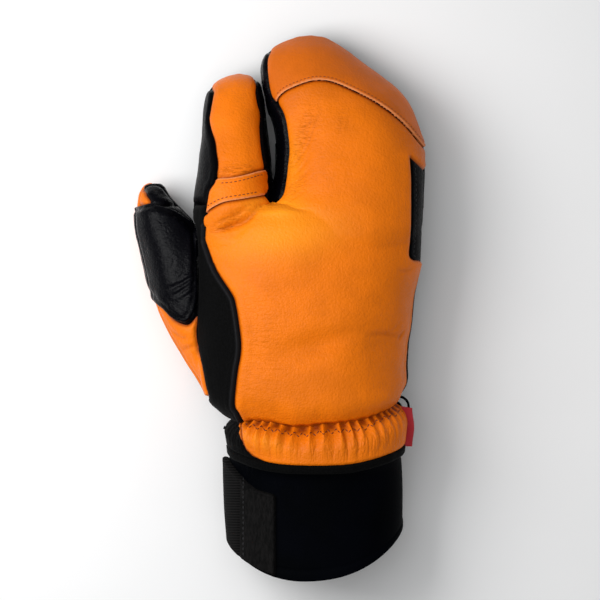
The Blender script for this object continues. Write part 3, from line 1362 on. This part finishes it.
def thread(name, colour):
    made, tree, shader = material(name, colour, 0.6)
    twist = waves(tree, where_in(tree, (1, 1, 1), 30), 0.8)
    base = tinted(tree, twist, colour, tuple(0.6 * n for n in colour))
    finished(tree, shader, base, [(twist, 0.05)])
    return made


def lining_fabric():
    made, tree, shader = material("lining", linear(30, 30, 33), 0.95)
    pile = grain(tree, 1.6, where_in(tree), 4, 0.7)
    base = tinted(tree, ramp(tree, pile, 0.35, 0.7), linear(18, 18, 20), linear(46, 46, 50))
    finished(tree, shader, base, [(pile, 0.6)], {"Sheen Weight": 0.3})
    return made


fabric = soft_fabric()
rubber = neoprene()
tape = hook_tape()
label = woven_label()
lining = lining_fabric()
orange_thread = thread("thread_orange", linear(116, 40, 6))
black_thread = thread("thread_black", linear(22, 22, 27))


# Pieces

def piece(name, part, made, replaced=()):
    """A Blender object from a part in millimetres, riding on the mitt."""
    mesh = bpy.data.meshes.new(name)
    points = (part["points"] + OFFSET) * MM
    faces = part["faces"].astype(np.int32)
    mesh.vertices.add(len(points))
    mesh.vertices.foreach_set("co", points.astype(np.float32).ravel())
    mesh.loops.add(faces.size)
    mesh.loops.foreach_set("vertex_index", faces.ravel())
    mesh.polygons.add(len(faces))
    mesh.polygons.foreach_set("loop_start", np.arange(0, faces.size, 3, dtype=np.int32))
    mesh.polygons.foreach_set("use_smooth", np.ones(len(faces), bool))
    mesh.update(calc_edges=True)
    shades = {column: part[column] for column in COLUMNS if column in part}
    if "edge" in part:
        shades.update({column: strand_mask(part["points"], fields) for column, fields in STRANDS.items()})
    for column, values in shades.items():
        attribute = mesh.attributes.new(column, "FLOAT", "POINT")
        attribute.data.foreach_set("value", values.astype(np.float32))
    mesh.validate()
    mesh.materials.append(made)
    obj = bpy.data.objects.new(name, mesh)
    bpy.context.scene.collection.objects.link(obj)
    if "hard" in part:
        mark_hard(mesh, part["hard"])
    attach(obj, "root")
    if replaced:
        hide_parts(*replaced)
    return obj


def mark_hard(mesh, edges):
    """Edges where the leather folds over keep a crisp line."""
    ends = np.empty(len(mesh.edges) * 2, np.int32)
    mesh.edges.foreach_get("vertices", ends)
    ends = np.sort(ends.reshape(-1, 2), axis=1)
    wanted = np.sort(edges, axis=1)
    keys = [pairs[:, 0].astype(np.int64) * len(mesh.vertices) + pairs[:, 1] for pairs in (ends, wanted)]
    sharp = mesh.attributes.new("sharp_edge", "BOOLEAN", "EDGE")
    sharp.data.foreach_set("value", np.isin(*keys))


print("cutting the panels")
thumb_value = inside(get(shell, "point")[:, :2], thumb_outline)
thumb_part = cut(shell, thumb_value)
beside = cut(shell, -thumb_value)
palm_part = cut(beside, get(beside, "palm_edge"))
back_part = cut(beside, -get(beside, "palm_edge"))
skirt_palm = cut(skirt, get(skirt, "palm_edge"))
skirt_back = cut(skirt, -get(skirt, "palm_edge"))

panels = {}
for name, outline in outlines.items():
    panels[name] = largest(cut(back_part, inside(get(back_part, "point")[:, :2], outline)))
patch_value = outer_patch_value(get(panels["back_shell"], "point"))
panels["outer_patch"] = largest(cut(panels["back_shell"], patch_value), 0.3)
panels["back_shell"] = largest(cut(panels["back_shell"], -patch_value))
panels["palm"] = largest(palm_part)
panels["thumb_back"] = largest(cut(thumb_part, get(thumb_part, "thumb_edge")))
panels["thumb_front"] = largest(cut(thumb_part, -get(thumb_part, "thumb_edge")))
parts = {name: dressed(panel, name) for name, panel in panels.items()}
orange_value = get(skirt_back, "orange")
parts["back_shell"] = merged(parts["back_shell"], plain_skirt(cut(skirt_back, orange_value)))
parts["side_panel"] = merged(parts["side_panel"], plain_skirt(cut(skirt_back, -orange_value)))
parts["palm"] = merged(parts["palm"], plain_skirt(skirt_palm))

PANEL_LOOKS = {
    "fingertip_cap": (cap_orange, "orange_leather"),
    "back_shell": (orange, "orange_leather"),
    "index_back": (orange, "orange_leather"),
    "knuckle_band": (orange, "orange_leather"),
    "gusset": (black, "black_leather"),
    "index_side": (smooth_black, "black_leather"),
    "side_panel": (fabric, "soft_shell"),
    "palm": (smooth_black, "black_leather"),
    "thumb_front": (black, "black_leather"),
    "thumb_back": (orange, "orange_leather"),
    "outer_patch": (smooth_black, "black_leather"),
}
TURN_IN = 1.4
for name, (look, slot) in PANEL_LOOKS.items():
    obj = piece(name + "_leather", turned_in(parts[name], TURN_IN), look, [name])


# Reinforcement on the thumb: a second skin over the front of it

def raised(mesh, edge, height, rounding, gap=0.0):
    """A patch laid over a surface, with a rounded edge. edge is how far a point lies inside its border."""
    lift = gap + height * np.sqrt(np.clip(1 - (1 - np.clip(edge / rounding, 0, 1)) ** 2, 0, 1))
    return get(mesh, "point") + get(mesh, "normal") * lift[:, None]


def bare(points, faces, **columns):
    return {"points": points, "faces": faces, **columns}


PATCH_LOW = 0.26


def thumb_patch_value(points):
    return np.maximum(inside(points[:, :2], thumb_patch_outline), THUMB["height"] * PATCH_LOW - points[:, 2])


def thumb_patch():
    base = largest(cut(thumb_part, thumb_patch_value(get(thumb_part, "point"))))
    points, normals = get(base, "point"), get(base, "normal")
    edge = np.minimum(-thumb_patch_value(points), SEAM_REACH)
    out = relief(base, "thumb_cover")[0]
    out = np.maximum(out, out * (0.35 + 0.65 * blend(edge, 0, 3)))
    out -= 0.45 * bell(edge, 2.2, 0.8)
    pucker = noise(points, 2.2, 7.7) * bell(edge, 3.0, 1.6)
    out += 0.25 * bell(edge, 4.2, 1.4) + 0.22 * pucker
    out += 0.12 * noise(points, 5.0, 1.9) * blend(edge, 2, 6)
    placed = raised(base, edge, PATCH_THICKNESS, 1.0, SEAM_GAP) + normals * out[:, None]
    near = bell(edge, 2.2, 0.9) * 0.7
    plain = np.zeros(len(placed))
    return bare(placed, base["faces"], seam=near, crease=plain, edge=plain)


piece("thumb_patch_leather", turned_in(thumb_patch(), TURN_IN), black, ["thumb_patch"])


# Cuff, binding and strap

def cuff_stations(share):
    """Columns of the cuff from the middle of the skirt, 0, to its rim, 1."""
    inset = SKIRT_WALL + CUFF_CLEARANCE
    upper = skirt_stations([-0.06, 0.12, 0.48, 1.0])
    rows = table(SECTION, CUFF_ROWS)
    lower = {
        **{name: rows[name] for name in ("lean", "skew", "bow")},
        "y": WRIST["y"] + rows["along"] * WRIST["length"],
        **{name: WRIST["x"] + rows[name] * WRIST["width"] for name in ("left", "right")},
        **{name: rows[name] * WRIST["height"] for name in ("low", "high")},
    }
    for name, by in (("left", inset), ("right", -inset), ("low", inset), ("high", -inset)):
        upper[name] = upper[name] + by
    full = {name: np.concatenate([upper[name], lower[name]]) for name in lower}
    y = full["y"]
    at = y[0] + share * (y[-1] - y[0])
    return {name: eased(-y, column, -at) if name != "y" else at for name, column in full.items()}


CUFF_ROUND = 480
CUFF_LENGTH = 64.0
RIM_SWELL = 0.35
outer_share = np.linspace(0.12, 1.0, 90)
outer_made = cuff_stations(outer_share)
cuff_angles = even_angles({name: column[-1:] for name, column in outer_made.items()}, CUFF_ROUND)
from_rim = (1 - outer_share)[:, None] * CUFF_LENGTH
rim_seam = bell(from_rim, 2.9, 0.5)
grid_of = rings(outer_made, cuff_angles, np.zeros((len(outer_share), CUFF_ROUND)))
swell_noise = noise(grid_of.reshape(-1, 3) * [1, 0.6, 1], 22.0, 3.3).reshape(grid_of.shape[:2])
ridges = np.zeros(grid_of.shape[:2])
for x, strength in ((-30.2, 0.5), (-28.0, 0.35), (-26.2, 0.25)):
    side = bell(grid_of[..., 0], x, 0.8) * (grid_of[..., 2] > 25)
    ridges += strength * side * bell(grid_of[..., 1], -22, 9)
bound = RIM_SWELL * blend(from_rim, 3.0, 2.4) - 0.3 * rim_seam
cuff_out = 0.5 * swell_noise * blend(from_rim, 0, 12) + ridges + bound
outer_cuff = rings(outer_made, cuff_angles, cuff_out)
roll = np.linspace(0, math.pi, 9)[1:-1]
rim_made = {name: np.repeat(column[-1:], len(roll)) for name, column in outer_made.items()}
rim_made["y"] = rim_made["y"] - 1.2 * np.sin(roll)
rim_out = RIM_SWELL - (1 - np.cos(roll)) / 2 * (CUFF_WALL + RIM_SWELL)
rim_cuff = rings(rim_made, cuff_angles, np.tile(rim_out[:, None], (1, CUFF_ROUND)))
inner_share = np.linspace(1.0, 0.0, 60)
inner_made = cuff_stations(inner_share)
inner_cuff = rings(inner_made, cuff_angles, np.full((len(inner_share), CUFF_ROUND), -CUFF_WALL))
cuff_points, cuff_faces = tube(np.concatenate([outer_cuff, rim_cuff, inner_cuff]))
cuff_seam = np.zeros(len(cuff_points))
cuff_seam[: outer_cuff.shape[0] * CUFF_ROUND] = np.repeat(rim_seam[:, 0], CUFF_ROUND)
cuff_obj = piece("cuff_neoprene", bare(cuff_points, cuff_faces, seam=cuff_seam), rubber, ["cuff"])


def binding_ring():
    """The bound edge that rolls in under the hem."""
    hem = skirt_stations([1.0])
    middle = -SEAM_GAP - BINDING_WIDTH / 2
    along = middle + BINDING_WIDTH / 2 * np.cos(np.linspace(0, math.pi, 20))
    tuck = np.interp(np.linspace(0, 1, 20), [0, 0.25, 0.6, 0.85, 1], [-0.9, 0.15, -0.1, -1.0, -2.3])
    along = np.concatenate([[along[0] + 1.2], along, [along[-1] + 0.9]])
    tuck = np.concatenate([[-1.6], tuck, [-3.0]])
    made = {name: np.repeat(column, len(along)) for name, column in hem.items()}
    made["y"] = made["y"] + along
    angles = even_angles(made, 600)
    out = np.tile(tuck[:, None], (1, len(angles)))
    crumple = noise(rings(made, angles, out).reshape(-1, 3) * [1, 0.4, 1], 5.0, 6.1).reshape(out.shape)
    points, faces = tube(rings(made, angles, out + 0.3 * crumple))
    points[:, 1] += hem_lift(points[:, 0])
    return bare(points, faces)


piece("hem_binding_roll", binding_ring(), fabric, ["hem_binding"])


STRAP_ROUND = 520
STRAP_START = 95  # degrees round the cuff
STRAP_SEAM_X = -33.3


def strap_part():
    """The strap: a thick skin over the cuff's left side, with its own edge."""
    share = np.linspace(0.3, 1.0, 150)
    kept = cuff_angles[np.searchsorted(cuff_angles, math.radians(STRAP_START)) :]
    angles = np.interp(np.linspace(0, 1, STRAP_ROUND), np.linspace(0, 1, len(kept)), kept)
    rows = rings(cuff_stations(share), angles, np.zeros((len(share), STRAP_ROUND)))
    sheet = net_of(*tube(rows, closed=False), rim=np.repeat((1 - share) * CUFF_LENGTH, STRAP_ROUND))
    top = seam(WRIST, STRAP_TOP)
    right = WRIST["x"] + STRAP_END * WRIST["width"]
    outline = [*top, (right, BEHIND), (-ASIDE, BEHIND)]

    def value(mesh):
        xy = get(mesh, "point")
        return np.maximum(inside(xy[:, :2], outline), STRAP_FOOT * WRIST["height"] - xy[:, 2])

    base = largest(cut(sheet, value(sheet)))
    base = cut(base, 0.6 - get(base, "rim"))
    points = get(base, "point")
    edge = np.minimum(np.clip(-value(base), 0, SEAM_REACH), get(base, "rim"))
    to_top = near_line(points[:, :2], top, SEAM_REACH)[0]
    rim = bell(to_top, 0.8, 0.7) * 0.45
    line = points[:, 0] - STRAP_SEAM_X
    groove = -0.4 * bell(line, 0, 0.55)
    pile = blend(line, -0.3, 0.3)
    rough = 0.22 * noise(points * [1.3, 0.45, 1], 2.2, 8.8) * pile * blend(edge, 0.5, 2)
    placed = raised(base, edge, STRAP_THICKNESS, 0.9, SEAM_GAP)
    placed += get(base, "normal") * (rim + groove + rough)[:, None]
    return bare(placed, base["faces"], pile=pile, seam=bell(line, 0, 0.6))


STRAP_TURN_IN = 2.0
strap = strap_part()
piece("cuff_strap_tape", turned_in(strap, STRAP_TURN_IN), tape, ["cuff_strap"])


print("small parts")
TAG_LENGTH = 20.0
TAG_TUCK = 2.2
TAG_REACH = 6.3
TAG_PLACE = 0.38
TAG_LEVEL = 0.52 * HAND["height"]


def ribbon_tag():
    """The folded label: two layers of ribbon that meet in a fold at the outer end, slightly waved."""
    swollen = skirt_stations([0.48])
    inner = float(swollen["right"][0]) - TAG_TUCK
    outer = wrist_ring["right"] + TAG_REACH
    middle = SKIRT["y"] + TAG_PLACE * SKIRT["length"]
    u, v = np.meshgrid(np.linspace(0, 1, 14), np.linspace(-0.5, 0.5, 30), indexing="ij")
    x = inner + u * (outer + 0.5 * np.cos(v * 2 * math.pi) - inner)
    y = middle + v * TAG_LENGTH * (1 - 0.04 * u) - 0.5 * u
    level = TAG_LEVEL + 0.15 * np.sin(v * 9 + u * 2)
    half = 0.5 - 0.35 * u**6
    top, low = (np.stack([x, y, level + side * half], axis=2) for side in (1, -1))
    points, faces = tube(np.concatenate([top, low[::-1]]), closed=False)
    return bare(points, faces[:, ::-1])


piece("side_tag_ribbon", ribbon_tag(), label, ["side_tag"])


def cord(line, side, up, thick, sides):
    """A round cord along a line, as thick at each point as its own row says."""
    turn = np.linspace(0, 2 * math.pi, sides, endpoint=False)[None, :, None]
    around = np.cos(turn) * side[:, None, :] + np.sin(turn) * up[:, None, :]
    points, faces = tube(line[:, None, :] + thick[:, None, None] * around)
    return bare(points, faces[:, ::-1])


def cord_tube(route, radius, sides=12, steps=80):
    """A round cord through points, with closed ends."""
    line = spaced(smooth_line(route, 10), 0.2)
    share = np.linspace(0, 1, len(line))
    line = np.stack([np.interp(np.linspace(0, 1, steps), share, line[:, n]) for n in range(3)], 1)
    tangent = unit(np.gradient(line, axis=0))
    side = unit(np.cross(tangent, [0, 0, 1.0]))
    thick = radius * np.sqrt(np.clip(1 - (np.abs(np.linspace(-1, 1, steps)) ** 30), 0.02, 1))
    return cord(line, side, np.cross(side, tangent), thick, sides)


LOOP_RADIUS = 0.62
LOOP_DROP = 1.5
LOOP_ROUTE = [
    (43, 16, 0), (46.5, 15.25, 0), (48.75, 13, 0), (49.25, 10, 0), (48.75, 7.5, -0.2), (47.25, 6, -0.3),
    (45.75, 8, -0.2), (45, 11.5, 0), (43.5, 13, 0),
]
loop_route = np.array(LOOP_ROUTE, float) + [0, 0, TAG_LEVEL - LOOP_DROP]
piece("pull_loop_cord", cord_tube(loop_route, LOOP_RADIUS), rubber, ["pull_loop"])


# Stitches

OVERHEAD = 120


def stitches(part, line, pitch=2.6, share=0.66, radius=0.24, lift=0.1):
    """Short threads laid on a surface along a plan line, their ends sunk into it."""
    tree = BVHTree.FromPolygons([Vector(p) for p in part["points"]], part["faces"].tolist())
    found = []
    for x, y in spaced(line, 0.15):
        hit, normal, _, _ = tree.ray_cast(Vector((x, y, OVERHEAD)), Vector((0, 0, -1)))
        if hit is not None:
            found.append((*hit, *normal))
    found = np.array(found)
    length = length_along(found[:, :3])
    bow = np.sin(np.linspace(0, math.pi, 6))
    made = []
    for start in np.arange(0.5, length[-1] - pitch, pitch):
        at = start + np.linspace(0, pitch * share, 6)
        rows = np.stack([np.interp(at, length, found[:, n]) for n in range(6)], axis=1)
        normal = unit(rows[:, 3:])
        centre = rows[:, :3] + normal * (lift * bow - 0.12 * (1 - bow))[:, None]
        side = np.cross(unit(np.gradient(centre, axis=0)), normal)
        made.append(cord(centre, side, normal, radius * (0.45 + 0.55 * bow), 6))
    return made


GATHER_LINE = [
    (-32.5, 2), (-25.5, 0.5), (-17.5, -1), (-12.5, -2), (-7, -3), (-1, -3), (5, -2), (11, -1.5),
    (17.5, -1), (23.5, -0.5), (28.25, 0.5), (35.5, 4.5), (41.5, 6.5), (46.5, 9),
]
GATHER_SWAY = 1.1
CAP_INSET = 1.9
BAND_INSET = 2.1
PATCH_INSET = 1.6
gather_line = spaced(smooth_line(GATHER_LINE), 2.1)
gather_line[::2, 1] += GATHER_SWAY
gather_line[1::2, 1] -= GATHER_SWAY
strap_line = np.array([(STRAP_SEAM_X, -24.0), (STRAP_SEAM_X, -70.0)])
cap_stitch_line = shifted_line(cap_line[2:-3], CAP_INSET)
band = parts["knuckle_band"]
orange_stitches = [
    *stitches(parts["fingertip_cap"], cap_stitch_line, pitch=2.0, share=0.74, radius=0.19, lift=0.03),
    *stitches(band, shifted_line(band_upper, -BAND_INSET)[2:-2], pitch=2.2, share=0.74, lift=0.06),
    *stitches(band, shifted_line(band_lower, BAND_INSET)[2:-2], pitch=2.2, share=0.74, lift=0.06),
    *stitches(parts["back_shell"], gather_line, pitch=2.9, share=0.82, radius=0.28, lift=0.06),
]
black_stitches = [
    *stitches(parts["outer_patch"], shifted_line(patch_outline[:-2], PATCH_INSET)),
    *stitches(strap, strap_line),
]
piece("orange_stitching", merged(*orange_stitches), orange_thread)
piece("black_stitching", merged(*black_stitches), black_thread)


# Lining: the inner skin that shows through the open cuff

LINING_STEP = 2.0
LINING_INSET = 4.2
LINING_WAIST = 9.0
lining_points, lining_faces = net(hand_field(LINING_STEP) + LINING_INSET, LINING_STEP, 2)
lining_net = net_of(lining_points, lining_faces, s=along_hand(*lining_points.T))
lining_net = largest(cut(lining_net, -1.0 - get(lining_net, "s")))
drawn_in = LINING_WAIST * bell(np.maximum(get(lining_net, "s"), 0), 0, 14)
lining_points = get(lining_net, "point") - get(lining_net, "normal") * drawn_in[:, None]
piece("lining_fleece", bare(lining_points, lining_net["faces"][:, ::-1]), lining)


# Floor, light and camera

FLOOR_HALF = 6.0
FLOOR_LEVEL = -0.0002
FLOOR_COLOUR = (0.93, 0.93, 0.93)
corners = [(x * FLOOR_HALF, y * FLOOR_HALF, FLOOR_LEVEL) for x, y in ((-1, -1), (1, -1), (1, 1), (-1, 1))]
floor_mesh = bpy.data.meshes.new("floor")
floor_mesh.from_pydata(corners, [], [(0, 1, 2, 3)])
floor = bpy.data.objects.new("floor", floor_mesh)
bpy.context.scene.collection.objects.link(floor)
floor_look, floor_tree, floor_shader = material("floor", FLOOR_COLOUR, 0.9)
paper = grain(floor_tree, 40, where_in(floor_tree), 2)
paper = tinted(floor_tree, paper, FLOOR_COLOUR, (0.95, 0.95, 0.95))
floor_tree.links.new(paper, floor_shader.inputs["Base Color"])
floor_mesh.materials.append(floor_look)


def area_light(name, place_m, target, size, power, colour=(1, 1, 1)):
    light = bpy.data.lights.new(name, "AREA")
    light.shape = "RECTANGLE"
    light.size, light.size_y = size
    light.energy = power
    light.color = colour
    obj = bpy.data.objects.new(name, light)
    obj.location = place_m
    obj.rotation_euler = (Vector(target) - Vector(place_m)).to_track_quat("-Z", "Y").to_euler()
    bpy.context.scene.collection.objects.link(obj)


area_light("key", (-0.32, 0.1, 0.42), target=(-0.01, 0.02, 0.03), size=(0.34, 0.34), power=2.25)
area_light("top", (-0.2, 0.1, 1.8), target=(0, 0, 0.03), size=(1.4, 1.4), power=7, colour=(0.96, 0.98, 1.0))

WORLD_STRENGTH = 0.34
bpy.context.scene.view_settings.view_transform = "Standard"
world = bpy.data.worlds.new("studio")
world.use_nodes = True
world.node_tree.nodes["Background"].inputs["Color"].default_value = (1, 1, 1, 1)
world.node_tree.nodes["Background"].inputs["Strength"].default_value = WORLD_STRENGTH
bpy.context.scene.world = world

VIEW_CENTRE = (0.0099, 0.00499)
VIEW_WIDTH = 0.3
VIEW_LEVEL = 0.025
CAMERA_HEIGHT = 8.0
SENSOR = 36
camera_data = bpy.data.cameras.new("camera")
camera_data.sensor_width = SENSOR
camera_data.lens = SENSOR * (CAMERA_HEIGHT - VIEW_LEVEL) / VIEW_WIDTH
camera_data.clip_end = 50
camera = bpy.data.objects.new("camera", camera_data)
camera.location = (*VIEW_CENTRE, CAMERA_HEIGHT)
camera.rotation_euler = (0, 0, 0)
bpy.context.scene.collection.objects.link(camera)
bpy.context.scene.camera = camera
